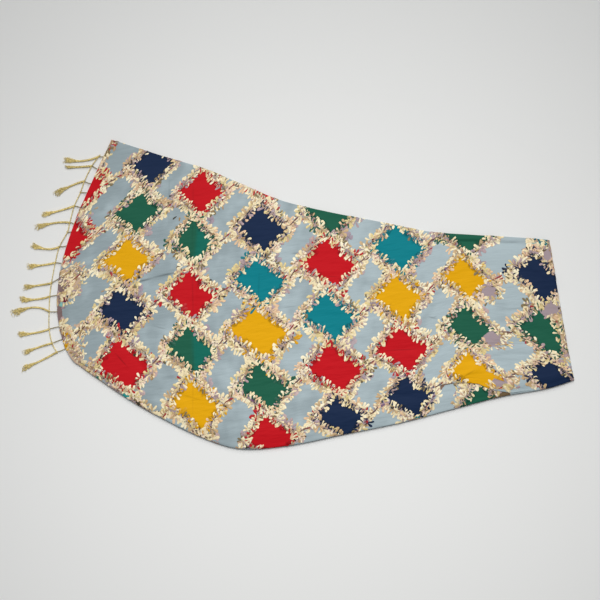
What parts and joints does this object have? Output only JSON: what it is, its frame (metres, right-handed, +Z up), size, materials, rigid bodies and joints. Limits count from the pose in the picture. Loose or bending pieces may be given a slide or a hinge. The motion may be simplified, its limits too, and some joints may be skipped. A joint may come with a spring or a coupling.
{
  "type": "dupatta stole",
  "caption": "Brocade dupatta stole, folded lengthways and then across and laid flat, with a netted tassel fringe at its end.",
  "frame": {"origin": "centre of the folded stole's outline, fringe included, on the surface it lies on", "axes": "+X along the stole from the fringed end to the cross fold, +Y from the long fold to the woven side edges, +Z up"},
  "size_m": [1.0392, 0.5747, 0.0127],
  "materials": {
    "brocade": "woven silk brocade with a soft sheen",
    "brocade_inside": "inner layers of the woven brocade",
    "gold_thread": "twisted gold thread"
  },
  "bodies": {
    "root": {"upper_layer": "brocade", "hidden_layers": "brocade_inside", "fringe_net": "gold_thread", "tassel_01": "gold_thread", "tassel_02": "gold_thread", "tassel_03": "gold_thread", "tassel_04": "gold_thread", "tassel_05": "gold_thread", "tassel_06": "gold_thread", "tassel_07": "gold_thread", "tassel_08": "gold_thread", "tassel_09": "gold_thread", "tassel_10": "gold_thread", "tassel_11": "gold_thread", "tassel_12": "gold_thread", "tassel_13": "gold_thread"}
  },
  "joints": []
}
